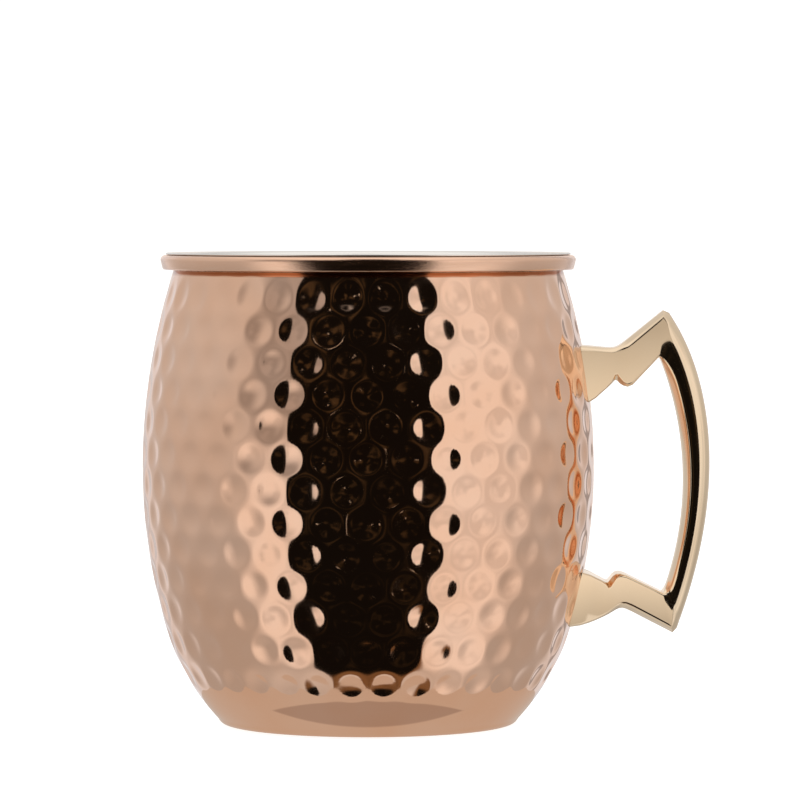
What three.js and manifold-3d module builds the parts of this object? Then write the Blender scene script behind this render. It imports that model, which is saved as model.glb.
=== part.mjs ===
// A hammered copper mug with a steel liner and a cast brass handle, held by two rivets.
// Millimetres. The mug's axis is Z, its base stands on z = 0, and the handle points along +X.

import * as THREE from "three";
import { mergeVertices } from "three/addons/utils/BufferGeometryUtils.js";
import Module from "manifold-3d";

const wasm = await Module();
wasm.setup();

// ---- Driving dimensions ----

// Barrel, measured on its outside.
const BASE_RADIUS = 29.4; // flat part that the mug stands on
const HEEL = { r: 31.3, z: 1.2 }; // end of the small rounding round the base
const LOWER_KNEE = { r: 41.4, z: 17.8 }; // where the bowl turns into the wall
const BELLY = { r: 47, z: 53 }; // widest ring
const NECK = { r: 40.5, z: 94.3 }; // narrowest ring, under the rim
const HEEL_BULGE = 0.35; // how far the base's rounding stands out past its chord
const BOWL_BULGE = 1.0; // the same for the bowl
const WALL_BULGE = 1.37; // the same for the wall under the belly
const SHOULDER_BULGE = 1.62; // the same for the wall above the belly

// Sheets.
const SHELL_THICKNESS = 0.7;
const LINER_THICKNESS = 0.4;
const SHEET_GAP = 0.3;

// Rolled rim.
const RIM_RADIUS = 43.15;
const RIM_FOOT = { r: 42.3, z: 94.5 }; // underside of the curl
const RIM_CROWN = 97.5; // top of the copper curl
const RIM_ROUNDING = 1.0;
const RIM_FOOT_ROUNDING = 0.45;
const RIM_INNER_TURN = { r: 41.2, z: 96.1 }; // centre of the first bend of the curl
const CURL_END = 41.1; // radius where the sheet's edge stops, just short of the neck
const LIP_TOP = 98; // top of the liner's lip, which lies on the curl
const LIP_TURN = 41.0; // radius of the lip's bend centre
const LIP_END = 41.85; // radius where the lip's rounded edge begins

// Handle, in the plane y = 0.
const ARM_WIDTH = 10; // across the grip and the arms
const FOOT_WIDTH = 16; // across the feet, at the wall
const FLARE_END = 54; // x where the arms have narrowed to ARM_WIDTH
const EDGE_ROUND_IN_PLANE = 1.2;
const EDGE_ROUND_ACROSS = 2.0;
const FOOT_GAP = 0.3;
const FOOT_START = 38; // x where the raw feet begin, inside the wall that trims them

// Rivets and washers.
const RIVET_HEIGHTS = { upper: 73, lower: 26.8 };
const RIVET_RADIUS = 1.6;
const RIVET_CLEARANCE = 0.2;
const RIVET_REACH = 4.6; // length inside the foot
const RIVET_TIP_CHAMFER = 0.4;
const RIVET_HEAD_RADIUS = 3.6;
const RIVET_HEAD_HEIGHT = 1.5;
const WASHER_RADIUS = 4.4;
const WASHER_THICKNESS = 0.5;
const WASHER_SEAT = 0.45; // clears the curve of the liner under a flat washer
const SEAT_GAP = 0.15;

const ROUND_SEGMENTS = 48;
const RIVET_SEGMENTS = 16;

// ---- Materials ----

function metal(name, color, roughness) {
  const material = new THREE.MeshStandardMaterial({ color, roughness, metalness: 1 });
  material.name = name;
  return material;
}

const copperMaterial = metal("copper", 0xdb9c7c, 0.12);
const steelMaterial = metal("steel", 0xc9c7c2, 0.25);
const brassMaterial = metal("brass", 0xdec4a0, 0.1);
const rivetMaterial = metal("rivet", 0xc4c2bd, 0.3);

// ---- Outline helpers, on points (r, z) or (x, z) ----

const point = (x, y) => new THREE.Vector2(x, y);

// The arc of a circle from one angle to another, in degrees.
function arc(centreX, centreY, radius, fromDegrees, toDegrees, steps) {
  const points = [];
  for (let i = 0; i <= steps; i += 1) {
    const angle = THREE.MathUtils.degToRad(THREE.MathUtils.lerp(fromDegrees, toDegrees, i / steps));
    points.push(point(centreX + radius * Math.cos(angle), centreY + radius * Math.sin(angle)));
  }
  return points;
}

// The arc that joins two points and stands out by bulge, to the right of the way from a to b.
function bulgedArc(a, b, bulge, steps) {
  const chord = b.clone().sub(a);
  const length = chord.length();
  const side = point(chord.y, -chord.x).divideScalar(length);
  const radius = (length * length) / (8 * bulge) + bulge / 2;
  const centre = a.clone().add(b).multiplyScalar(0.5).addScaledVector(side, bulge - radius);
  const from = a.clone().sub(centre).angle();
  let sweep = b.clone().sub(centre).angle() - from;
  if (sweep > Math.PI) {
    sweep -= 2 * Math.PI;
  }
  if (sweep < -Math.PI) {
    sweep += 2 * Math.PI;
  }
  const points = [];
  for (let i = 0; i <= steps; i += 1) {
    const angle = from + (sweep * i) / steps;
    const spoke = point(Math.cos(angle), Math.sin(angle));
    points.push(centre.clone().addScaledVector(spoke, radius));
  }
  return points;
}

// Drops points that repeat the one before them.
function withoutRepeats(points) {
  return points.filter((p, i) => i === 0 || p.distanceTo(points[i - 1]) > 1e-4);
}

// ---- The barrel ----

// The outside of the barrel from the base's edge to the neck.
function barrelOutline() {
  const edge = point(BASE_RADIUS, 0);
  const heel = point(HEEL.r, HEEL.z);
  const knee = point(LOWER_KNEE.r, LOWER_KNEE.z);
  const belly = point(BELLY.r, BELLY.z);
  const neck = point(NECK.r, NECK.z);
  return withoutRepeats([
    ...bulgedArc(edge, heel, HEEL_BULGE, 2),
    ...bulgedArc(heel, knee, BOWL_BULGE, 4),
    ...bulgedArc(knee, belly, WALL_BULGE, 4),
    ...bulgedArc(belly, neck, SHOULDER_BULGE, 4),
  ]);
}

// The barrel's outline moved inwards by a distance, square to the wall.
function insetOutline(distance) {
  const outline = barrelOutline();
  const last = outline.length - 1;
  return outline.map((p, i) => {
    if (i === 0) {
      return point(p.x - distance * 0.4, distance);
    }
    if (i === last) {
      return point(p.x - distance, p.y);
    }
    const along = outline[i + 1].clone().sub(outline[i - 1]).normalize();
    const moved = point(p.x - distance * along.y, p.y + distance * along.x);
    return point(moved.x, Math.max(moved.y, distance));
  });
}

// A closed outline on the axis, turned into a solid of revolution about Z.
function revolve(outline, segments = ROUND_SEGMENTS) {
  const geometry = new THREE.LatheGeometry(outline, segments);
  geometry.rotateX(Math.PI / 2);
  return geometry;
}

// The copper sheet: up the outside, round inside the curl to the sheet's edge, back round
// the outside of the curl and down the inside of the wall.
function shellGeometry() {
  const t = SHELL_THICKNESS;
  const turn = RIM_INNER_TURN;
  const innerBend = turn.r - NECK.r;
  const roundRadius = RIM_RADIUS - RIM_ROUNDING;
  const roundHeight = RIM_CROWN - RIM_ROUNDING;
  const outline = [
    point(0, 0),
    ...barrelOutline(),
    ...arc(turn.r, turn.z, innerBend, 180, 90, 3),
    ...arc(roundRadius, roundHeight, RIM_ROUNDING - t, 90, 0, 2),
    point(RIM_FOOT.r, RIM_FOOT.z + t),
    point(CURL_END, RIM_FOOT.z + t),
    point(CURL_END, RIM_FOOT.z),
    ...arc(RIM_FOOT.r, RIM_FOOT.z + RIM_FOOT_ROUNDING, RIM_FOOT_ROUNDING, -90, -10, 2),
    ...arc(roundRadius, roundHeight, RIM_ROUNDING, 0, 90, 3),
    ...arc(turn.r, turn.z, innerBend + t, 90, 180, 3),
    ...insetOutline(t).reverse(),
    point(0, t),
  ];
  return revolve(withoutRepeats(outline));
}

// The steel sheet inside the copper one, with its lip turned out over the curl.
function linerGeometry() {
  const t = LINER_THICKNESS;
  const outside = SHELL_THICKNESS + SHEET_GAP;
  const lipBend = LIP_TURN - (NECK.r - outside);
  const lipHeight = LIP_TOP - t - lipBend;
  const outline = [
    point(0, outside),
    ...insetOutline(outside),
    ...arc(LIP_TURN, lipHeight, lipBend, 180, 90, 3),
    ...arc(LIP_END, LIP_TOP - t / 2, t / 2, -90, 90, 2),
    ...arc(LIP_TURN, lipHeight, lipBend + t, 90, 180, 3),
    ...insetOutline(outside + t).reverse(),
    point(0, outside + t),
  ];
  return revolve(withoutRepeats(outline));
}

// ---- Cutting ----

function toSolid(geometry) {
  const bare = geometry.clone();
  bare.deleteAttribute("normal");
  bare.deleteAttribute("uv");
  const merged = mergeVertices(bare, 1e-4);
  const mesh = new wasm.Mesh({
    numProp: 3,
    vertProperties: new Float32Array(merged.attributes.position.array),
    triVerts: new Uint32Array(merged.index.array),
  });
  mesh.merge();
  return new wasm.Manifold(mesh);
}

function toGeometry(solid) {
  const mesh = solid.getMesh();
  const geometry = new THREE.BufferGeometry();
  geometry.setAttribute("position", new THREE.BufferAttribute(mesh.vertProperties, 3));
  geometry.setIndex(new THREE.BufferAttribute(mesh.triVerts, 1));
  geometry.computeVertexNormals();
  return geometry;
}

// ---- Rivets ----

// Where a rivet crosses the outside of the wall, and its direction out of the mug.
function rivetSeat(height) {
  const outline = barrelOutline();
  const next = outline.findIndex((p) => p.y > height);
  const below = outline[next - 1];
  const above = outline[next];
  const place = below.clone().lerp(above, (height - below.y) / (above.y - below.y));
  const along = above.clone().sub(below).normalize();
  return {
    position: new THREE.Vector3(place.x, 0, place.y),
    outward: new THREE.Vector3(along.y, 0, -along.x),
  };
}

// Turns a geometry made about its own Y axis so that +Y points out of the mug at a seat.
function seatTransform(height) {
  const seat = rivetSeat(height);
  const turn = new THREE.Quaternion().setFromUnitVectors(new THREE.Vector3(0, 1, 0), seat.outward);
  return new THREE.Matrix4().compose(seat.position, turn, new THREE.Vector3(1, 1, 1));
}

const WALL = SHELL_THICKNESS + SHEET_GAP + LINER_THICKNESS;
const WASHER_FACE = -(WALL + WASHER_SEAT); // the washer's face towards the liner
const HEAD_FACE = WASHER_FACE - WASHER_THICKNESS - SEAT_GAP; // the underside of the rivet's head
const SHANK_END = FOOT_GAP + RIVET_REACH;

// The hole that a rivet passes through, from inside the mug to the blind end in the foot.
function rivetHole(height) {
  const length = SHANK_END + RIVET_CLEARANCE - WASHER_FACE;
  const radius = RIVET_RADIUS + RIVET_CLEARANCE;
  const geometry = new THREE.CylinderGeometry(radius, radius, length, RIVET_SEGMENTS);
  geometry.translate(0, WASHER_FACE + length / 2, 0);
  geometry.applyMatrix4(seatTransform(height));
  return toSolid(geometry);
}

// A shank with a domed head on its inner end.
function rivetGeometry() {
  const domeRadius =
    (RIVET_HEAD_RADIUS ** 2 + RIVET_HEAD_HEIGHT ** 2) / (2 * RIVET_HEAD_HEIGHT);
  const domeCentre = HEAD_FACE - RIVET_HEAD_HEIGHT + domeRadius;
  const halfAngle = THREE.MathUtils.radToDeg(Math.asin(RIVET_HEAD_RADIUS / domeRadius));
  const outline = [
    ...arc(0, domeCentre, domeRadius, -90, -90 + halfAngle, 5),
    point(RIVET_RADIUS, HEAD_FACE),
    point(RIVET_RADIUS, SHANK_END - RIVET_TIP_CHAMFER),
    point(RIVET_RADIUS - RIVET_TIP_CHAMFER, SHANK_END),
    point(0, SHANK_END),
  ];
  outline[0].x = 0;
  return new THREE.LatheGeometry(withoutRepeats(outline), RIVET_SEGMENTS);
}

// A flat ring round the shank.
function washerGeometry() {
  const hole = RIVET_RADIUS + RIVET_CLEARANCE;
  const back = WASHER_FACE - WASHER_THICKNESS;
  const outline = [
    point(hole, back),
    point(WASHER_RADIUS, back),
    point(WASHER_RADIUS, WASHER_FACE),
    point(hole, WASHER_FACE),
    point(hole, back),
  ];
  return new THREE.LatheGeometry(outline, RIVET_SEGMENTS);
}

// ---- Handle ----

// The handle's side outline, round the loop from the upper foot: top of the upper arm, back of
// the grip, underside of the lower arm, then back along the finger side with its two knuckles.
function handleShape() {
  const apex = point(61.9, 86.6);
  const tip = point(63.9, 18.6);
  const back = new THREE.CubicBezierCurve(apex, point(72, 73.1), point(75.4, 48), tip);
  const upperInnerCorner = point(60.4, 76.5);
  const lowerInnerCorner = point(61.3, 27.3);
  const outline = [
    point(FOOT_START, 79.2),
    ...bulgedArc(point(44, 78.8), point(51.8, 78.4), 0.25, 3),
    ...back.getPoints(16),
    point(53.6, 24),
    ...bulgedArc(point(42, 20.4), point(48.6, 22.3), 0.3, 3).reverse(),
    point(FOOT_START, 20),
    point(FOOT_START, 35.2),
    point(49.6, 29.6),
    ...arc(52.2, 29.4, 2.1, 150, 50, 5),
    ...bulgedArc(lowerInnerCorner, upperInnerCorner, 4.6, 12),
    ...arc(53.6, 72.2, 1.9, -50, -150, 4),
    point(51.3, 71.6),
    point(45, 66.2),
    point(FOOT_START, 60.2),
  ];
  return new THREE.Shape(withoutRepeats(outline));
}

// The cast loop, wider at its feet, trimmed to the barrel and drilled for the rivets.
function handleGeometry() {
  const geometry = new THREE.ExtrudeGeometry(handleShape(), {
    depth: ARM_WIDTH - 2 * EDGE_ROUND_ACROSS,
    bevelSize: EDGE_ROUND_IN_PLANE,
    bevelOffset: -EDGE_ROUND_IN_PLANE,
    bevelThickness: EDGE_ROUND_ACROSS,
    bevelSegments: 3,
    curveSegments: 12,
  });
  geometry.translate(0, 0, EDGE_ROUND_ACROSS - ARM_WIDTH / 2);
  geometry.rotateX(Math.PI / 2);
  const positions = geometry.attributes.position;
  for (let i = 0; i < positions.count; i += 1) {
    const flare = THREE.MathUtils.smoothstep(FLARE_END - positions.getX(i), 0, FLARE_END - NECK.r);
    positions.setY(i, positions.getY(i) * THREE.MathUtils.lerp(1, FOOT_WIDTH / ARM_WIDTH, flare));
  }
  const below = -FOOT_WIDTH;
  const barrel = [
    point(0, below),
    point(BASE_RADIUS, below),
    ...insetOutline(-FOOT_GAP),
    point(0, NECK.z),
  ];
  return toGeometry(
    toSolid(geometry)
      .subtract(toSolid(revolve(barrel)))
      .subtract(rivetHole(RIVET_HEIGHTS.upper))
      .subtract(rivetHole(RIVET_HEIGHTS.lower)),
  );
}

// A sheet drilled for both rivets.
function drilled(geometry) {
  return toGeometry(
    toSolid(geometry)
      .subtract(rivetHole(RIVET_HEIGHTS.upper))
      .subtract(rivetHole(RIVET_HEIGHTS.lower)),
  );
}

// ---- Assembly ----

function piece(name, geometry, material) {
  const mesh = new THREE.Mesh(geometry, material);
  mesh.name = name;
  return mesh;
}

// A rivet and its washer, standing in their seat.
function fixing(name, height) {
  const group = new THREE.Group();
  group.add(piece(`${name}_rivet`, rivetGeometry(), rivetMaterial));
  group.add(piece(`${name}_washer`, washerGeometry(), steelMaterial));
  group.applyMatrix4(seatTransform(height));
  return group;
}

const mug = new THREE.Group();
mug.add(piece("outer_shell", drilled(shellGeometry()), copperMaterial));
mug.add(piece("inner_liner", drilled(linerGeometry()), steelMaterial));
mug.add(piece("handle", handleGeometry(), brassMaterial));
mug.add(fixing("upper", RIVET_HEIGHTS.upper));
mug.add(fixing("lower", RIVET_HEIGHTS.lower));

export default mug;
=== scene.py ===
import math

import bpy
import numpy as np
from mathutils import Matrix, Vector


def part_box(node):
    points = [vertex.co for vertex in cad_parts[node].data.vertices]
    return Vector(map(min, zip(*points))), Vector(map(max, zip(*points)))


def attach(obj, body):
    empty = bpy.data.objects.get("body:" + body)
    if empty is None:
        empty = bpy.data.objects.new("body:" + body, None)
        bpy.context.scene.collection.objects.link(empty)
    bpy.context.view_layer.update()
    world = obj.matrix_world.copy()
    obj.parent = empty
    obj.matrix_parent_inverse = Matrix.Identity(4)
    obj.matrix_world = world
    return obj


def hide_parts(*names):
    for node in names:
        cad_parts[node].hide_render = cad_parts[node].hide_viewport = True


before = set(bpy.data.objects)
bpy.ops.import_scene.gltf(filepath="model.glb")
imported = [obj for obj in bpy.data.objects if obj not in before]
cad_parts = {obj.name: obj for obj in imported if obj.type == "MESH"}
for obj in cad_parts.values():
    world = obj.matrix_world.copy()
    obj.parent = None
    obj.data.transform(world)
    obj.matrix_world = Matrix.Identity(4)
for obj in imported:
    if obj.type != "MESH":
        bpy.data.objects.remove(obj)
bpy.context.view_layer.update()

# Hammered copper mug. Lengths in this file are in millimetres, and MM turns them into metres.
MM = 0.001


def highest_corner(node):
    """The highest corner of a CAD node's box, in millimetres."""
    return Vector(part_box(node)[1]) / MM


SHELL_HIGH = highest_corner("outer_shell")
LINER_HIGH = highest_corner("inner_liner")

# ---- Barrel, as (radius, height). The same line as the CAD's, which has no hammer marks. ----

BASE_RADIUS = 29.4
HEEL = (31.3, 1.2)
KNEE = (41.4, 17.8)
BELLY = (SHELL_HIGH.x, 53.0)
NECK = (40.5, 94.3)
HEEL_BULGE = 0.35
BOWL_BULGE = 1.0
WALL_BULGE = 1.37
SHOULDER_BULGE = 1.62

SHELL_THICKNESS = 0.7
LINER_GAP = 0.3
LINER_THICKNESS = 0.4

RIM_RADIUS = 43.15
RIM_CROWN = SHELL_HIGH.z
RIM_FOOT = (42.3, 94.5)
RIM_ROUNDING = 1.0
RIM_FOOT_ROUNDING = 0.45
RIM_TURN = (41.2, 96.1)
CURL_END = 41.1
LIP_TOP = LINER_HIGH.z
LIP_TURN = 41.0
LIP_END = 41.85

# ---- Hammer marks ----

DIMPLES_PER_ROW = 36
TOP_ROW_HEIGHT = 89.2
ROW_SPACING = 6.41
EVEN_ROWS = 11
BOWL_ROWS = [18.1, 11.2]    # the last rows are wider apart, round the bowl
ROW_HEIGHTS = [TOP_ROW_HEIGHT - ROW_SPACING * row for row in range(EVEN_ROWS)] + BOWL_ROWS
DIMPLE_DEPTH = 0.36
DIMPLE_SPHERE = 12.0     # radius of the ball that each mark is part of
RIDGE_SOFTNESS = 0.082
TOP_ROW_STRETCH = 0.8    # the top marks run up towards the rim
ROW_REACH = 8.5          # how far up and down the wall a row is worked out
MARK_SHIFT = 0.22        # how far a mark may lie from its place
MARK_SPREAD = (0.92, 1.08)
MARK_SEED = 36

# The sheet lies flat under the handle's feet: each foot's height up the wall and half height.
FEET = ((73.0, 6.9), (26.3, 6.5))
FOOT_HALF = 8.1
FOOT_SQUARENESS = 6
FOOT_BLEND = 0.14      # how far the flattened patch blends into the marks, as a share of its size

AROUND = 432    # vertices round the shell
UP = 160        # rings up its wall


def bulged_arc(a, b, bulge, steps):
    """The arc from a to b that stands out by bulge to the right of the way from a to b."""
    ax, ay = a
    bx, by = b
    length = math.hypot(bx - ax, by - ay)
    side = ((by - ay) / length, -(bx - ax) / length)
    radius = length * length / (8 * bulge) + bulge / 2
    cx = (ax + bx) / 2 + side[0] * (bulge - radius)
    cy = (ay + by) / 2 + side[1] * (bulge - radius)
    start = math.atan2(ay - cy, ax - cx)
    sweep = math.atan2(by - cy, bx - cx) - start
    sweep = (sweep + math.pi) % (2 * math.pi) - math.pi
    angles = [start + sweep * i / steps for i in range(steps + 1)]
    return [(cx + radius * math.cos(t), cy + radius * math.sin(t)) for t in angles]


def arc(cx, cy, radius, start, end, steps):
    """Points on a circle between two angles in degrees."""
    angles = [math.radians(start + (end - start) * i / steps) for i in range(steps + 1)]
    return [(cx + radius * math.cos(t), cy + radius * math.sin(t)) for t in angles]


def joined(*runs):
    """Runs of points as one list, without repeated points."""
    points = []
    for run in runs:
        for p in run:
            if not points or math.dist(p, points[-1]) > 1e-4:
                points.append((float(p[0]), float(p[1])))
    return points


WALL = joined(
    bulged_arc(HEEL, KNEE, BOWL_BULGE, 40),
    bulged_arc(KNEE, BELLY, WALL_BULGE, 60),
    bulged_arc(BELLY, NECK, SHOULDER_BULGE, 70),
)


def resampled(points, count):
    """The same line through count points at even spacing, with their distances along it."""
    p = np.array(points)
    along = np.concatenate([[0], np.cumsum(np.linalg.norm(np.diff(p, axis=0), axis=1))])
    even = np.linspace(0, along[-1], count)
    return np.stack([np.interp(even, along, p[:, 0]), np.interp(even, along, p[:, 1])], 1), even


def outward_normals(points):
    """Unit normals of a wall line that runs upwards, pointing away from the axis."""
    along = np.gradient(points, axis=0)
    along /= np.linalg.norm(along, axis=1)[:, None]
    return np.stack([along[:, 1], -along[:, 0]], 1)


def inset_wall(distance, count):
    """The wall moved inwards by a distance, as a list of points going up."""
    points, _ = resampled(WALL, count)
    moved = points - outward_normals(points) * distance
    moved[-1] = (NECK[0] - distance, NECK[1])
    return [tuple(p) for p in moved if p[1] > distance + 0.05]


def wall_radius(height):
    """Outside radius of the wall at a height."""
    p = np.array(WALL)
    return float(np.interp(height, p[:, 1], p[:, 0]))


def make_object(name, vertices, faces, sharp_degrees):
    """A smooth-shaded mesh object from millimetre vertices, with its sharp edges marked."""
    mesh = bpy.data.meshes.new(name)
    mesh.from_pydata(np.asarray(vertices) * MM, [], faces)
    mesh.validate()
    for polygon in mesh.polygons:
        polygon.use_smooth = True
    mesh.set_sharp_from_angle(angle=math.radians(sharp_degrees))
    obj = bpy.data.objects.new(name, mesh)
    bpy.context.scene.collection.objects.link(obj)
    return obj


def revolve(outline, around, closed=False):
    """Vertices and faces of an outline (radius, height) turned about Z. Points on the axis
    become one vertex each."""
    vertices = []
    rings = []
    angles = np.arange(around) * 2 * math.pi / around
    for r, z in outline:
        if r < 1e-6:
            rings.append([len(vertices)] * around)
            vertices.append((0.0, 0.0, z))
            continue
        first = len(vertices)
        rings.append(list(range(first, first + around)))
        vertices += [(r * math.cos(t), r * math.sin(t), z) for t in angles]
    return vertices, ring_faces(rings, closed)


def ring_faces(rings, closed=False):
    """Quads between neighbouring rings of vertex numbers, triangles where a ring is one point."""
    faces = []
    pairs = list(zip(rings, rings[1:]))
    if closed:
        pairs.append((rings[-1], rings[0]))
    for low, high in pairs:
        n = len(low)
        for j in range(n):
            k = (j + 1) % n
            corner = [low[j], low[k], high[k], high[j]]
            face = [v for i, v in enumerate(corner) if v not in corner[:i]]
            if len(face) > 2:
                faces.append(face)
    return faces


# ---- Hammered surface ----


def dimple_depths(angles, along, radii, heights):
    """How deep the hammer has pushed the sheet in, at each angle and distance up the wall.
    Neighbouring marks meet in soft ridges, because their bowls are added as exponentials."""
    rng = np.random.default_rng(MARK_SEED)
    pitch = 2 * math.pi / DIMPLES_PER_ROW
    total = np.ones((len(along), len(angles)))
    for row, centre_height in enumerate(ROW_HEIGHTS):
        centre_along = float(np.interp(centre_height, heights, along))
        first = -math.pi / 2 + (0 if row % 2 else pitch / 2)
        shift = rng.uniform(-MARK_SHIFT, MARK_SHIFT, (DIMPLES_PER_ROW, 2))
        sphere = rng.uniform(*MARK_SPREAD, DIMPLES_PER_ROW) * DIMPLE_SPHERE
        deepest = rng.uniform(*MARK_SPREAD, DIMPLES_PER_ROW) * DIMPLE_DEPTH
        upward = along - centre_along
        if row == 0:
            upward = np.where(upward > 0, upward * TOP_ROW_STRETCH, upward)
        near = np.abs(along - centre_along) < ROW_REACH
        steps = np.round((angles - first) / pitch).astype(int)
        for side in (-1, 0, 1):
            mark = (steps + side) % DIMPLES_PER_ROW
            offset = angles - first - (steps + side) * pitch
            sideways = np.outer(radii[near], offset) - shift[mark, 0]
            vertical = upward[near][:, None] - shift[mark, 1]
            bowl = deepest[mark] - (sideways**2 + vertical**2) / (2 * sphere[mark])
            total[near] += np.exp(bowl / RIDGE_SOFTNESS)
    depth = RIDGE_SOFTNESS * np.log(total)
    sideways = radii[:, None] * np.sin(angles)[None, :]
    for foot_height, half_height in FEET:
        upward = (heights - foot_height)[:, None] / half_height
        out = (np.abs(sideways / FOOT_HALF) ** FOOT_SQUARENESS + np.abs(upward) ** FOOT_SQUARENESS)
        out = out ** (1 / FOOT_SQUARENESS)
        left = np.clip((out - 1.0) / FOOT_BLEND, 0.0, 1.0)
        left = left * left * (3 - 2 * left)
        depth *= np.where(np.cos(angles)[None, :] > 0, left, 1.0)
    return depth


def shell_rings():
    """Rings of the copper sheet, from the middle of the underside, up the hammered outside,
    round the curl and down the inside."""
    angles = np.arange(AROUND) * 2 * math.pi / AROUND
    wall, along = resampled(WALL, UP)
    normals = outward_normals(wall)
    depth = dimple_depths(angles, along, wall[:, 0], wall[:, 1])
    turn = RIM_TURN
    bend = turn[0] - NECK[0]
    t = SHELL_THICKNESS
    round_r = RIM_RADIUS - RIM_ROUNDING
    round_z = RIM_CROWN - RIM_ROUNDING
    below = joined([(0, 0), (BASE_RADIUS * 0.6, 0), (BASE_RADIUS, 0)],
                   bulged_arc((BASE_RADIUS, 0), HEEL, HEEL_BULGE, 6)[1:-1])
    above = joined(
        arc(turn[0], turn[1], bend, 180, 90, 4),
        arc(round_r, round_z, RIM_ROUNDING - t, 90, 0, 3),
        [(RIM_FOOT[0], RIM_FOOT[1] + t), (CURL_END, RIM_FOOT[1] + t), (CURL_END, RIM_FOOT[1])],
        arc(RIM_FOOT[0], RIM_FOOT[1] + RIM_FOOT_ROUNDING, RIM_FOOT_ROUNDING, -90, -10, 6),
        arc(round_r, round_z, RIM_ROUNDING, 0, 90, 8),
        arc(turn[0], turn[1], bend + t, 90, 180, 6),
        inset_wall(t, 16)[::-1],
        [(BASE_RADIUS - 1, t), (0, t)],
    )
    return angles, below, wall, normals, depth, above


def build_shell():
    angles, below, wall, normals, depth, above = shell_rings()
    cos, sin = np.cos(angles), np.sin(angles)
    blocks = []
    rings = []
    count = 0
    for r, z in below:
        count = add_ring(blocks, rings, count, np.full(AROUND, r), np.full(AROUND, z), cos, sin)
    for i in range(UP):
        r = wall[i, 0] - normals[i, 0] * depth[i]
        z = wall[i, 1] - normals[i, 1] * depth[i]
        count = add_ring(blocks, rings, count, r, z, cos, sin)
    for r, z in above:
        count = add_ring(blocks, rings, count, np.full(AROUND, r), np.full(AROUND, z), cos, sin)
    shell = make_object("hammered_shell", np.concatenate(blocks), ring_faces(rings), 50)
    return shell


def add_ring(blocks, rings, count, radii, heights, cos, sin):
    """Adds one ring of vertices, or a single vertex on the axis, and returns the new count."""
    if radii[0] < 1e-6:
        blocks.append(np.array([[0.0, 0.0, heights[0]]]))
        rings.append([count] * len(cos))
        return count + 1
    blocks.append(np.stack([radii * cos, radii * sin, heights], 1))
    rings.append(list(range(count, count + len(cos))))
    return count + len(cos)


def build_liner():
    outside = SHELL_THICKNESS + LINER_GAP
    t = LINER_THICKNESS
    bend = LIP_TURN - (NECK[0] - outside)
    lip_z = LIP_TOP - t - bend
    corner = BASE_RADIUS - 1
    outline = joined(
        [(0, outside), (corner, outside)],
        inset_wall(outside, 40),
        arc(LIP_TURN, lip_z, bend, 180, 90, 8),
        arc(LIP_END, LIP_TOP - t / 2, t / 2, -90, 90, 8),
        arc(LIP_TURN, lip_z, bend + t, 90, 180, 10),
        inset_wall(outside + t, 90)[::-1],
        [(corner - 0.6, outside + t + 0.12), (corner - 2, outside + t), (0, outside + t)],
    )
    return make_object("steel_liner", *revolve(outline, 240), 50)


# ---- Handle ----

ARM_OUTER_HALF = 4.2    # half width on the loop's outer side
ARM_FINGER_HALF = 4.9   # half width on the finger side
GRIP_HALF = 4.4
APEX = (61.85, 86.5)
TIP = (63.85, 18.7)
UPPER_CORNER = (60.4, 76.5)
LOWER_CORNER = (61.3, 27.3)
GRIP_BACK_PULLS = ((72.0, 73.1), (75.4, 48.0))    # the back's Bezier handles, from the apex
GRIP_FINGER_BULGE = 4.6
GRIP_STEPS = 60

# Stations from the wall to the mitre: outer point, finger-side point, how far the outer
# chamfer has opened, and how far the knuckle's edge is rounded.
UPPER_ARM = [
    ((44.1, 78.8), (46.1, 67.1), 0.35, 0.0),
    ((45.6, 78.68), (47.1, 67.95), 0.35, 0.0),
    ((47.1, 78.55), (48.1, 68.85), 0.35, 0.0),
    ((48.6, 78.4), (49.2, 69.75), 0.35, 0.0),
    ((50.0, 78.3), (50.4, 70.85), 0.35, 0.1),
    ((50.9, 78.32), (51.2, 71.6), 0.35, 0.8),
    ((51.5, 78.45), (51.7, 71.45), 0.35, 1.0),
    ((52.0, 78.68), (52.2, 70.85), 0.45, 0.85),
    ((52.5, 79.0), (52.95, 70.4), 0.6, 0.5),
    ((53.0, 79.38), (53.8, 70.2), 0.8, 0.25),
    ((53.7, 79.93), (54.8, 70.6), 0.95, 0.1),
    ((54.8, 80.83), (55.9, 71.75), 1.0, 0.0),
    ((57.8, 83.25), (58.1, 74.05), 1.0, 0.0),
    ((60.8, 85.66), (60.15, 76.25), 1.0, 0.0),
    ((61.3, 86.05), (60.3, 76.4), 1.0, 0.0),
]
LOWER_ARM = [
    ((42.4, 20.5), (45.0, 31.9), 0.0, 0.0),
    ((44.0, 20.75), (46.1, 31.35), 0.0, 0.0),
    ((45.6, 21.18), (47.2, 30.8), 0.0, 0.0),
    ((47.2, 21.75), (48.3, 30.25), 0.0, 0.0),
    ((48.8, 22.42), (49.3, 29.72), 0.05, 0.1),
    ((50.0, 23.0), (49.8, 29.65), 0.15, 0.8),
    ((50.8, 23.45), (50.25, 30.2), 0.3, 1.0),
    ((51.5, 23.82), (50.8, 30.9), 0.45, 0.85),
    ((52.1, 24.05), (51.45, 31.35), 0.6, 0.5),
    ((52.8, 24.12), (52.3, 31.5), 0.8, 0.25),
    ((53.6, 23.9), (53.4, 31.2), 0.95, 0.1),
    ((54.8, 23.33), (54.8, 30.5), 1.0, 0.0),
    ((58.9, 21.2), (58.1, 28.9), 1.0, 0.0),
    ((62.8, 19.2), (61.05, 27.42), 1.0, 0.0),
    ((63.3, 18.93), (61.2, 27.34), 1.0, 0.0),
]
FLARE_LENGTH = 13.0    # how far from the wall the arms go on narrowing


def lerp(a, b, t):
    return a + (b - a) * t


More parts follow.
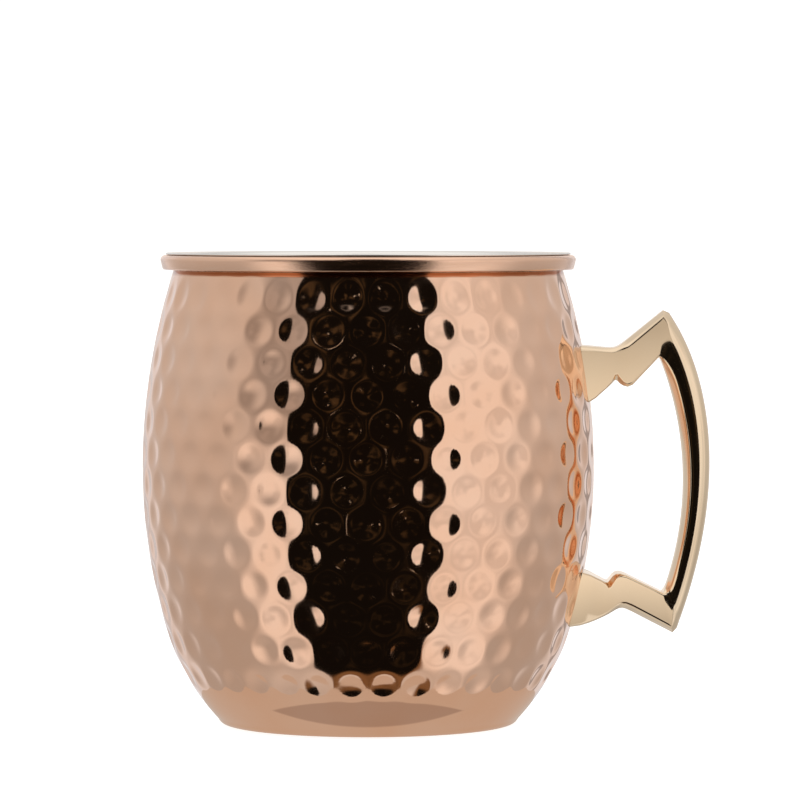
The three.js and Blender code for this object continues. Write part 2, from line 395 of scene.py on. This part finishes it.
def bezier(a, b, c, d, steps):
    """The cubic curve from a to d with handles b and c."""
    t = np.linspace(0, 1, steps + 1)[:, None]
    a, b, c, d = map(np.array, (a, b, c, d))
    return (1 - t) ** 3 * a + 3 * (1 - t) ** 2 * t * b + 3 * (1 - t) * t**2 * c + t**3 * d


def softened(corners, steps=8):
    """A line through corners (p, y, cut), each rounded from cut before it to cut after it."""
    points = [corners[0][:2]]
    for before, corner, after in zip(corners, corners[1:], corners[2:]):
        middle = Vector(corner[:2])
        ends = []
        for other in (before, after):
            way = Vector(other[:2]) - middle
            ends.append(middle + way.normalized() * min(corner[2], 0.48 * way.length))
        for i in range(steps + 1):
            t = i / steps
            point = ends[0] * (1 - t) ** 2 + middle * (2 * t * (1 - t)) + ends[1] * t**2
            points.append((point.x, point.y))
    points.append(corners[-1][:2])
    return points


def arm_corners(thickness, flare, chamfer, knuckle):
    """Half an arm's cross-section: distance from the outer side, half width, rounding."""
    outer_half = lerp(ARM_OUTER_HALF, FOOT_HALF - 0.4, flare)
    finger_half = lerp(ARM_FINGER_HALF, FOOT_HALF, flare)
    cut_down = lerp(0.4, 1.15, chamfer)
    cut_across = lerp(0.7, 2.3, chamfer)
    finger_cut = lerp(0.35, 1.5, knuckle)
    return [
        (0, 0, 0),
        (0, outer_half - cut_across, 0.3),
        (cut_down, outer_half, lerp(0.35, 0.8, chamfer)),
        (thickness - finger_cut, finger_half, 0.3),
        (thickness, finger_half - finger_cut * 1.2, 0.3),
        (thickness, 0, 0),
    ]


def grip_corners(thickness):
    """Half the grip's cross-section: a round back, a flat flank and a roof towards the fingers."""
    return [
        (0, 0, 0),
        (0.25, 2.75, 1.9),
        (thickness * 0.36, GRIP_HALF, thickness * 0.33),
        (thickness * 0.79, GRIP_HALF, 0.9),
        (thickness - 0.1, 1.1, 0.8),
        (thickness, 0, 0),
    ]


def mixed_corners(a, b, t):
    return [tuple(lerp(u, v, t) for u, v in zip(p, q)) for p, q in zip(a, b)]


def station_ring(outer, finger, corners):
    """A closed ring of vertices from a half section placed between two points of the XZ plane."""
    thickness = math.dist(outer, finger)
    direction = ((finger[0] - outer[0]) / thickness, (finger[1] - outer[1]) / thickness)
    front = [(outer[0] + direction[0] * p, -y, outer[1] + direction[1] * p)
             for p, y in softened(corners)]
    back = [(x, -y, z) for x, y, z in front[1:-1]][::-1]
    return front + back


def arm_rings(stations):
    """Rings from the wall to the mitre."""
    rings = []
    start = sum(stations[0][i][0] for i in (0, 1)) / 2
    for outer, finger, chamfer, knuckle in stations:
        out = ((outer[0] + finger[0]) / 2 - start) / FLARE_LENGTH
        flare = (1 - min(out, 1.0)) ** 2
        corners = arm_corners(math.dist(outer, finger), flare, chamfer, knuckle)
        rings.append(station_ring(outer, finger, corners))
    return rings


def seated(ring, gap=0.02):
    """A foot's ring moved along X onto the barrel's wall."""
    moved = []
    for _, y, z in ring:
        radius = wall_radius(z) + gap
        moved.append((math.sqrt(max(radius * radius - y * y, 0)), y, z))
    return moved


def grip_rings():
    outer_line = resampled(bezier(APEX, *GRIP_BACK_PULLS, TIP, GRIP_STEPS), GRIP_STEPS + 1)[0]
    finger_line = bulged_arc(LOWER_CORNER, UPPER_CORNER, GRIP_FINGER_BULGE, GRIP_STEPS)[::-1]
    rings = []
    for i in range(1, GRIP_STEPS):
        t = i / GRIP_STEPS
        thickness = math.dist(outer_line[i], finger_line[i])
        rounded = min(t / 0.16, (1 - t) / 0.07, 1.0)
        rounded = rounded * (2 - rounded)
        arm = arm_corners(thickness, 0, 1, 0)
        corners = mixed_corners(arm, grip_corners(thickness), rounded)
        rings.append(station_ring(outer_line[i], finger_line[i], corners))
    return rings


def build_handle():
    upper = arm_rings(UPPER_ARM)
    lower = arm_rings(LOWER_ARM)
    upper[0] = seated(upper[0])
    lower[0] = seated(lower[0])
    rings = upper + grip_rings() + lower[::-1]
    size = len(rings[0])
    vertices = [v for ring in rings for v in ring]
    numbers = [list(range(i * size, (i + 1) * size)) for i in range(len(rings))]
    faces = ring_faces(numbers)
    faces.append(numbers[0][::-1])
    faces.append(numbers[-1])
    return make_object("brass_handle", vertices, faces, 42)


# ---- Rivets and washers ----

RIVET_HEIGHTS = {"upper": 73.0, "lower": 26.8}
RIVET_RADIUS = 1.6
RIVET_CLEARANCE = 0.2
RIVET_REACH = 4.6
FOOT_GAP = 0.3
HEAD_RADIUS = 3.6
HEAD_HEIGHT = 1.5
WASHER_RADIUS = 4.4
WASHER_THICKNESS = 0.5
WASHER_SEAT = 0.45
SEAT_GAP = 0.15
WASHER_FACE = -(SHELL_THICKNESS + LINER_GAP + LINER_THICKNESS + WASHER_SEAT)
HEAD_FACE = WASHER_FACE - WASHER_THICKNESS - SEAT_GAP
SHANK_END = FOOT_GAP + RIVET_REACH


def seat_matrix(height):
    """Turns a solid made along +Z so that +Z points out of the mug where a rivet crosses the wall."""
    wall = np.array(WALL)
    step = int(np.searchsorted(wall[:, 1], height))
    along = Vector((*(wall[step] - wall[step - 1]),)).normalized()
    outward = Vector((along.y, 0, -along.x))
    turn = outward.to_track_quat("Z", "Y").to_matrix().to_4x4()
    return Matrix.Translation((wall_radius(height), 0, height)) @ turn


def placed(name, outline, height, around, closed, sharp):
    vertices, faces = revolve(outline, around, closed)
    matrix = seat_matrix(height)
    return make_object(name, [matrix @ Vector(v) for v in vertices], faces, sharp)


def build_rivet(side):
    dome = (HEAD_RADIUS**2 + HEAD_HEIGHT**2) / (2 * HEAD_HEIGHT)
    centre = HEAD_FACE - HEAD_HEIGHT + dome
    half_angle = math.degrees(math.asin(HEAD_RADIUS / dome))
    outline = joined(
        [(0, HEAD_FACE - HEAD_HEIGHT)],
        arc(0, centre, dome, -90, -90 + half_angle * 0.94, 12)[1:],
        arc(HEAD_RADIUS - 0.18, HEAD_FACE - 0.16, 0.16, -30, 90, 4),
        [(RIVET_RADIUS, HEAD_FACE), (RIVET_RADIUS, SHANK_END - 0.4),
         (RIVET_RADIUS - 0.4, SHANK_END), (0, SHANK_END)],
    )
    return placed(side + "_rivet_domed", outline, RIVET_HEIGHTS[side], 64, False, 35)


def build_washer(side):
    hole = RIVET_RADIUS + RIVET_CLEARANCE
    back = WASHER_FACE - WASHER_THICKNESS
    edge = 0.12
    outline = [
        (hole, back), (WASHER_RADIUS - edge, back), (WASHER_RADIUS, back + edge),
        (WASHER_RADIUS, WASHER_FACE - edge), (WASHER_RADIUS - edge, WASHER_FACE),
        (hole, WASHER_FACE),
    ]
    return placed(side + "_washer_ring", outline, RIVET_HEIGHTS[side], 64, True, 35)


# ---- Materials ----


class Nodes:
    """A short way to build a node material."""

    def __init__(self, name):
        self.material = bpy.data.materials.new(name)
        self.material.use_nodes = True
        self.tree = self.material.node_tree
        self.shader = self.tree.nodes["Principled BSDF"]
        self.coords = self.tree.nodes.new("ShaderNodeTexCoord").outputs["Object"]

    def link(self, a, b):
        self.tree.links.new(a, b)

    def add(self, kind, inputs=None, **settings):
        node = self.tree.nodes.new(kind)
        for key, value in settings.items():
            setattr(node, key, value)
        for key, value in (inputs or {}).items():
            if isinstance(value, bpy.types.NodeSocket):
                self.link(value, node.inputs[key])
            else:
                node.inputs[key].default_value = value
        return node

    def scaled(self, scale):
        mapping = self.add("ShaderNodeMapping", {"Vector": self.coords, "Scale": scale})
        return mapping.outputs["Vector"]

    def noise(self, scale, detail=3.0, stretch=(1, 1, 1), roughness=0.5):
        inputs = {"Vector": self.scaled(stretch), "Scale": scale, "Detail": detail, "Roughness": roughness}
        return self.add("ShaderNodeTexNoise", inputs).outputs["Fac"]

    def ramp(self, value, low, high, to_low, to_high):
        inputs = {"Value": value, "From Min": low, "From Max": high, "To Min": to_low, "To Max": to_high}
        return self.add("ShaderNodeMapRange", inputs).outputs["Result"]

    def mixed(self, factor, a, b):
        node = self.add("ShaderNodeMix", data_type="RGBA")
        self.link(factor, node.inputs[0])
        for socket, colour in ((node.inputs[6], a), (node.inputs[7], b)):
            if isinstance(colour, bpy.types.NodeSocket):
                self.link(colour, socket)
            else:
                socket.default_value = (*colour, 1)
        return node.outputs[2]

    def math(self, operation, *values):
        node = self.add("ShaderNodeMath", operation=operation)
        for value, socket in zip(values, node.inputs):
            if isinstance(value, bpy.types.NodeSocket):
                self.link(value, socket)
            else:
                socket.default_value = value
        return node.outputs[0]

    def bump(self, height, distance, strength):
        """A bump whose distance is in metres."""
        inputs = {"Height": height, "Distance": distance, "Strength": strength}
        return self.add("ShaderNodeBump", inputs).outputs["Normal"]


COPPER = (0.92, 0.60, 0.43)
COPPER_WARM = (0.91, 0.56, 0.38)
# Painted shade: the darker colour painted into the copper in the groove under the curl.
GROOVE_SHADE_COLOUR = (0.46, 0.17, 0.07)
PAINTED_SHADE_FROM = 93.2    # heights between which shade is painted into the copper's colour, in the groove under the curl
PAINTED_SHADE_FULL = 93.9
STEEL = (0.92, 0.88, 0.82)
STEEL_COOL = (0.86, 0.83, 0.78)
BRASS = (0.92, 0.73, 0.52)
BRASS_DEEP = (0.90, 0.69, 0.47)


def hammered_copper():
    n = Nodes("hammered_copper")
    n.shader.inputs["Metallic"].default_value = 1.0
    tone = n.noise(60, 3)
    copper_unshaded = n.mixed(n.ramp(tone, 0.35, 0.65, 0, 1), COPPER, COPPER_WARM)
    # Painted shade: the copper's colour is darkened by height, in the groove under the curl.
    height = n.add("ShaderNodeSeparateXYZ", {"Vector": n.coords}).outputs["Z"]
    groove_shade = n.ramp(height, PAINTED_SHADE_FROM * MM, PAINTED_SHADE_FULL * MM, 0, 1)
    n.link(n.mixed(groove_shade, copper_unshaded, GROOVE_SHADE_COLOUR), n.shader.inputs["Base Color"])
    cloud = n.noise(110, 4)
    n.link(n.ramp(cloud, 0.3, 0.7, 0.045, 0.09), n.shader.inputs["Roughness"])
    peel = n.noise(900, 2)
    n.link(n.bump(peel, 0.000004, 0.5), n.shader.inputs["Normal"])
    return n.material


def brushed_copper():
    n = Nodes("brushed_copper")
    n.shader.inputs["Metallic"].default_value = 1.0
    lines = n.noise(220, 5, (1, 1, 60), 0.7)
    n.link(n.mixed(n.ramp(lines, 0.35, 0.65, 0, 1), COPPER, COPPER_WARM), n.shader.inputs["Base Color"])
    n.link(n.ramp(lines, 0.3, 0.7, 0.13, 0.24), n.shader.inputs["Roughness"])
    n.link(n.bump(lines, 0.00002, 0.6), n.shader.inputs["Normal"])
    return n.material


def spun_steel():
    n = Nodes("spun_steel")
    n.shader.inputs["Metallic"].default_value = 1.0
    split = n.add("ShaderNodeSeparateXYZ", {"Vector": n.coords})
    flat = n.add("ShaderNodeCombineXYZ", {"X": split.outputs["X"], "Y": split.outputs["Y"], "Z": 0.0})
    radius = n.add("ShaderNodeVectorMath", {0: flat.outputs[0]}, operation="LENGTH").outputs["Value"]
    ring = n.add("ShaderNodeCombineXYZ", {"X": radius, "Y": split.outputs["Z"], "Z": 0.0}).outputs[0]
    lines = n.add("ShaderNodeTexNoise", {"Vector": ring, "Scale": 1800.0, "Detail": 4.0}).outputs["Fac"]
    n.link(n.mixed(n.ramp(lines, 0.3, 0.7, 0, 1), STEEL, STEEL_COOL), n.shader.inputs["Base Color"])
    n.link(n.ramp(lines, 0.3, 0.7, 0.2, 0.34), n.shader.inputs["Roughness"])
    n.link(n.bump(lines, 0.00002, 0.5), n.shader.inputs["Normal"])
    return n.material


def polished_brass():
    n = Nodes("polished_brass")
    n.shader.inputs["Metallic"].default_value = 1.0
    tone = n.noise(45, 3)
    n.link(n.mixed(n.ramp(tone, 0.35, 0.65, 0, 1), BRASS, BRASS_DEEP), n.shader.inputs["Base Color"])
    cloud = n.noise(160, 4)
    n.link(n.ramp(cloud, 0.3, 0.7, 0.07, 0.13), n.shader.inputs["Roughness"])
    swell = n.noise(260, 2)
    n.link(n.bump(swell, 0.00003, 0.35), n.shader.inputs["Normal"])
    return n.material


def satin_rivet():
    n = Nodes("satin_rivet")
    n.shader.inputs["Metallic"].default_value = 1.0
    grain = n.noise(1500, 4)
    n.link(n.mixed(n.ramp(grain, 0.3, 0.7, 0, 1), STEEL, STEEL_COOL), n.shader.inputs["Base Color"])
    n.link(n.ramp(grain, 0.3, 0.7, 0.24, 0.38), n.shader.inputs["Roughness"])
    n.link(n.bump(grain, 0.00002, 0.5), n.shader.inputs["Normal"])
    return n.material


# ---- Pieces ----


def dress(obj, node, slot, *materials):
    for material in materials:
        obj.data.materials.append(material)
    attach(obj, "root")
    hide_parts(node)
    return obj


shell = dress(build_shell(), "outer_shell", "copper", hammered_copper(), brushed_copper())
for polygon in shell.data.polygons:
    if polygon.center.z > (RIM_FOOT[1] - 0.1) * MM:
        polygon.material_index = 1
steel = spun_steel()
rivet_steel = satin_rivet()
dress(build_liner(), "inner_liner", "steel", steel)
dress(build_handle(), "handle", "brass", polished_brass())
for side in ("upper", "lower"):
    dress(build_rivet(side), side + "_rivet", "rivet_steel", rivet_steel)
    dress(build_washer(side), side + "_washer", "steel", steel)

# ---- Studio ----

# What the polished metal mirrors: surroundings given here, in place of plain studio light.
# Angles are in degrees: round the mug from the camera's side, positive towards the handle, and
# up from the horizon. LEVELS is the light at each height. Each panel has its light, then
# (from, to, softness of each edge) round the mug, and the same upwards.
LEVELS = [(-90, 0.66), (-64, 0.64), (-50, 0.57), (-38, 0.47), (-26, 0.47), (-14, 0.50), (0, 0.59),
          (20, 0.65), (42, 0.70), (58, 0.98), (90, 1.05)]
PANELS = [
    ((0.78, 0.80, 0.84), (142, 182, 12, 0.1), (-40, 30, 10, 12)),
    ((0.78, 0.80, 0.84), (-182, -142, 0.1, 12), (-40, 30, 10, 12)),
    ((1.0, 0.93, 0.87), (168, 182, 5, 0.1), (-6, 26, 3, 8)),
    ((1.0, 0.93, 0.87), (-182, -168, 0.1, 5), (-6, 26, 3, 8)),
    ((0.36, 0.36, 0.37), (149, 155, 1.5, 1.5), (-60, 40, 10, 10)),
    ((0.43, 0.42, 0.42), (-66, -40, 10, 0.3), (4, 46, 8, 6)),
    ((0.90, 0.89, 0.89), (-66, -40, 10, 0.3), (-41, 0, 6, 9)),
    ((0.91, 0.90, 0.90), (34, 84, 0.3, 13), (-50, 46, 6, 8)),
    ((0.20, 0.115, 0.055), (-36, 41, 6, 3), (-66, -38, 1.0, 4)),
]
# The dark screen in front of the mug, and the fainter dark above it.
DARK = ((-40.5, 36.5, 0.4, 0.4), (-56, 44, 2, 4))
DARK_TOP = ((-18, 22, 6, 6), (40, 72, 4, 6))
DARK_SHADES = ((0.006, 0.005, 0.004), (0.07, 0.047, 0.024))
SWIRL_SCALE = 7.0
SWIRL_DETAIL = 2.5
SWIRL_EDGES = (0.52, 0.75)
CLOUD_SCALE = 3.4
CLOUD_EDGES = (0.35, 0.62)
CLOUDS = (0.82, 1.03)    # darkest and lightest that clouds make a panel
# Small lights on the dark screen, as (round the mug, upwards, half size).
SPARKS = [(-9, -13, 0.5), (15, 20.5, 0.4), (-22, 27, 0.6), (8, 2, 0.35), (-16, 8, 0.4),
          (25, -22, 0.5)]
SPARK_LIGHT = (1.0, 0.95, 0.85)
SPARK_SOFTNESS = 0.25
BACKDROP_LIGHT = 1.1     # what the camera sees behind the mug

# The floor near the base, which only the metal sees, as a glowing sheet of painted light. SHADE is
# a painted shadow on it, a darker patch in front of the mug, as (radius, half depth, half angle in
# degrees).
PLINTH_RADIUS = 44.0
PLINTH_HEIGHT = -0.1
PLINTH_CORNERS = 96
PLINTH_LIGHT = (0.58, 0.53, 0.48)
SHADE_LIGHT = (0.41, 0.36, 0.33)
SHADE = (36.0, 3.6, 40.0)

# Two small cards in front of the handle's arms, which only the metal sees, as outlines (x, z) at
# a distance along -Y. Each goes from its first (height, light) to its second.
CARD_DISTANCE = 13.5
CARDS = {
    "upper_card": ([(38, 56), (51, 61), (57, 67), (61.9, 73.0), (61.9, 78.2), (62.6, 79.6),
                    (66, 80.2), (70, 81), (66, 90.8), (62, 90.6), (53.5, 83.1), (50, 81.5),
                    (38, 82.6)],
                   (66, 0.92), (84, 0.56)),
    "lower_card": ([(38, 4), (48, 8), (53, 19.8), (55, 19.0), (64, 14.6), (69, 13), (69, 22.0),
                    (63.3, 24.2), (61.9, 26.6), (61.7, 31), (54, 36), (46, 40), (38, 44)],
                   (18, 0.58), (29, 0.94)),
}
CARD_TINT = (1.0, 0.95, 0.89)

FLOOR_REACH = 6.0       # metres
FLOOR_COLOUR = (0.78, 0.78, 0.78, 1)
FLOOR_ROUGHNESS = 0.6
FLOOR_GLOW = 0.82

CAMERA_LENS = 225.0
CAMERA_PLACE = (0.0066, -1.04, 0.108)    # metres
CAMERA_PITCH = -2.24                     # degrees above the horizon


def stage_sheet(name, points, material):
    """A flat stage piece through points in metres."""
    mesh = bpy.data.meshes.new(name)
    mesh.from_pydata(points, [], [list(range(len(points)))])
    sheet = bpy.data.objects.new(name, mesh)
    bpy.context.scene.collection.objects.link(sheet)
    sheet.data.materials.append(material)
    return sheet


def only_mirrored(sheet):
    """Leaves a stage piece to be seen in the metal only."""
    sheet.visible_camera = False
    sheet.visible_diffuse = False
    sheet.visible_shadow = False
    sheet.visible_transmission = False


def build_floor():
    """A wide floor. The metal doesn't mirror it: it mirrors the surroundings and the plinth."""
    n = Nodes("pale_floor")
    n.shader.inputs["Base Color"].default_value = FLOOR_COLOUR
    n.shader.inputs["Roughness"].default_value = FLOOR_ROUGHNESS
    n.shader.inputs["Specular IOR Level"].default_value = 0.0
    n.shader.inputs["Emission Color"].default_value = (1, 1, 1, 1)
    n.shader.inputs["Emission Strength"].default_value = FLOOR_GLOW
    reach = FLOOR_REACH
    corners = [(-reach, -reach, 0), (reach, -reach, 0), (reach, reach, 0), (-reach, reach, 0)]
    floor = stage_sheet("floor", corners, n.material)
    floor.visible_glossy = False


def glowing(name):
    """A material helper without a surface shader, and its emission node."""
    n = Nodes(name)
    n.tree.nodes.remove(n.shader)
    glow = n.add("ShaderNodeEmission")
    return n, glow


def build_plinth():
    n, glow = glowing("plinth_light")
    split = n.add("ShaderNodeSeparateXYZ", {"Vector": n.coords})
    x, y, _ = split.outputs
    flat = n.add("ShaderNodeCombineXYZ", {"X": x, "Y": y})
    radius = n.add("ShaderNodeVectorMath", {0: flat.outputs[0]}, operation="LENGTH").outputs["Value"]
    front = n.math("ARCTAN2", x, n.math("MULTIPLY", y, -1.0))
    along = n.math("DIVIDE", front, math.radians(SHADE[2]))
    out = n.math("DIVIDE", n.math("SUBTRACT", radius, SHADE[0] * MM), SHADE[1] * MM)
    inside = n.math("ADD", n.math("POWER", along, 2.0), n.math("ABSOLUTE", out))
    shaded = n.ramp(inside, 0.94, 1.04, 1.0, 0.0)
    # Painted light on the plinth, with a painted shadow where the SHADE patch lies.
    n.link(n.mixed(shaded, PLINTH_LIGHT, SHADE_LIGHT), glow.inputs["Color"])
    n.link(glow.outputs[0], n.tree.nodes["Material Output"].inputs["Surface"])
    turns = [2 * math.pi * i / PLINTH_CORNERS for i in range(PLINTH_CORNERS)]
    rim = PLINTH_RADIUS * MM
    points = [(rim * math.cos(t), rim * math.sin(t), PLINTH_HEIGHT * MM) for t in turns]
    only_mirrored(stage_sheet("plinth", points, n.material))


def build_card(name, outline, low, high):
    """A one-sided card that faces the handle."""
    n, glow = glowing(name + "_light")
    height = n.add("ShaderNodeSeparateXYZ", {"Vector": n.coords}).outputs["Z"]
    level = n.ramp(height, low[0] * MM, high[0] * MM, low[1], high[1])
    n.link(level, glow.inputs["Strength"])
    glow.inputs["Color"].default_value = (*CARD_TINT, 1)
    clear = n.add("ShaderNodeBsdfTransparent")
    facing = n.add("ShaderNodeNewGeometry").outputs["Backfacing"]
    switch = n.add("ShaderNodeMixShader", {0: facing, 1: glow.outputs[0], 2: clear.outputs[0]})
    n.link(switch.outputs[0], n.tree.nodes["Material Output"].inputs["Surface"])
    points = [(x * MM, -CARD_DISTANCE * MM, z * MM) for x, z in outline[::-1]]
    only_mirrored(stage_sheet(name, points, n.material))


class World:
    """Node helpers for the studio's surroundings."""

    def __init__(self):
        self.world = bpy.data.worlds.new("studio")
        bpy.context.scene.world = self.world
        self.world.use_nodes = True
        self.tree = self.world.node_tree
        self.tree.nodes.clear()

    def put(self, value, socket):
        if isinstance(value, bpy.types.NodeSocket):
            self.tree.links.new(value, socket)
        else:
            socket.default_value = value

    def math(self, operation, *values):
        node = self.tree.nodes.new("ShaderNodeMath")
        node.operation = operation
        for value, socket in zip(values, node.inputs):
            self.put(value, socket)
        return node.outputs[0]

    def rise(self, value, start, end, low=0.0, high=1.0):
        node = self.tree.nodes.new("ShaderNodeMapRange")
        node.interpolation_type = "SMOOTHSTEP"
        for name, item in (("Value", value), ("From Min", start), ("From Max", end),
                           ("To Min", low), ("To Max", high)):
            self.put(item, node.inputs[name])
        return node.outputs["Result"]

    def band(self, value, low, high, soft_low, soft_high):
        up = self.rise(value, low - soft_low, low + soft_low)
        down = self.rise(value, high - soft_high, high + soft_high, 1.0, 0.0)
        return self.math("MULTIPLY", up, down)

    def patch(self, compass, height, around, upward):
        return self.math("MULTIPLY", self.band(compass, *around), self.band(height, *upward))

    def noise(self, direction, scale, detail):
        node = self.tree.nodes.new("ShaderNodeTexNoise")
        self.put(direction, node.inputs["Vector"])
        node.inputs["Scale"].default_value = scale
        node.inputs["Detail"].default_value = detail
        return node.outputs["Fac"]

    def tinted(self, colour, factor):
        node = self.tree.nodes.new("ShaderNodeVectorMath")
        node.operation = "SCALE"
        self.put(colour, node.inputs[0])
        self.put(factor, node.inputs["Scale"])
        return node.outputs[0]

    def mix(self, factor, a, b):
        node = self.tree.nodes.new("ShaderNodeMix")
        node.data_type = "RGBA"
        self.put(factor, node.inputs[0])
        self.put(a, node.inputs[6])
        self.put(b, node.inputs[7])
        return node.outputs[2]


def build_world():
    w = World()
    nodes = w.tree.nodes
    direction = nodes.new("ShaderNodeTexCoord").outputs["Generated"]
    split = nodes.new("ShaderNodeSeparateXYZ")
    w.put(direction, split.inputs[0])
    x, y, z = split.outputs
    to_degrees = 180 / math.pi
    compass = w.math("MULTIPLY", w.math("ARCTAN2", x, w.math("MULTIPLY", y, -1.0)), to_degrees)
    height = w.math("MULTIPLY", w.math("ARCSINE", z), to_degrees)
    level = nodes.new("ShaderNodeValToRGB")
    ramp = level.color_ramp
    for number, (angle, light) in enumerate(LEVELS):
        place = (angle + 90) / 180
        stop = ramp.elements[number] if number < 1 else ramp.elements.new(place)
        stop.position = place
        stop.color = (light, light, light, 1)
    ramp.elements.remove(ramp.elements[-1])
    w.put(w.math("DIVIDE", w.math("ADD", height, 90.0), 180.0), level.inputs[0])
    colour = level.outputs[0]
    cloud = w.rise(w.noise(direction, CLOUD_SCALE, 1.0), *CLOUD_EDGES, *CLOUDS)
    for light, around, upward in PANELS:
        panel = w.tinted(light, cloud)
        colour = w.mix(w.patch(compass, height, around, upward), colour, panel)
    swirl = w.rise(w.noise(direction, SWIRL_SCALE, SWIRL_DETAIL), *SWIRL_EDGES)
    swirl = w.math("MULTIPLY", swirl, w.rise(height, -30, 25, 0.25, 1.0))
    dark = w.mix(swirl, (*DARK_SHADES[0], 1), (*DARK_SHADES[1], 1))
    dim = w.math("MAXIMUM", w.patch(compass, height, *DARK), w.patch(compass, height, *DARK_TOP))
    colour = w.mix(dim, colour, dark)
    soft = (SPARK_SOFTNESS, SPARK_SOFTNESS)
    for round_mug, up, size in SPARKS:
        spark = ((round_mug - size, round_mug + size, *soft), (up - size, up + size, *soft))
        colour = w.mix(w.patch(compass, height, *spark), colour, (*SPARK_LIGHT, 1))
    light = nodes.new("ShaderNodeBackground")
    w.put(colour, light.inputs["Color"])
    seen = nodes.new("ShaderNodeBackground")
    seen.inputs["Color"].default_value = (1, 1, 1, 1)
    seen.inputs["Strength"].default_value = BACKDROP_LIGHT
    switch = nodes.new("ShaderNodeMixShader")
    w.put(nodes.new("ShaderNodeLightPath").outputs["Is Camera Ray"], switch.inputs[0])
    w.put(light.outputs[0], switch.inputs[1])
    w.put(seen.outputs[0], switch.inputs[2])
    out = nodes.new("ShaderNodeOutputWorld")
    w.put(switch.outputs[0], out.inputs["Surface"])


def build_camera():
    camera = bpy.data.cameras.new("camera")
    camera.sensor_width = 36.0
    camera.lens = CAMERA_LENS
    camera.clip_start = 0.05
    obj = bpy.data.objects.new("camera", camera)
    obj.location = CAMERA_PLACE
    obj.rotation_euler = (math.radians(90 + CAMERA_PITCH), 0, 0)
    bpy.context.scene.collection.objects.link(obj)
    bpy.context.scene.camera = obj


build_floor()
build_plinth()
for name, (outline, low, high) in CARDS.items():
    build_card(name, outline, low, high)
build_world()
build_camera()
bpy.context.scene.view_settings.view_transform = "Standard"
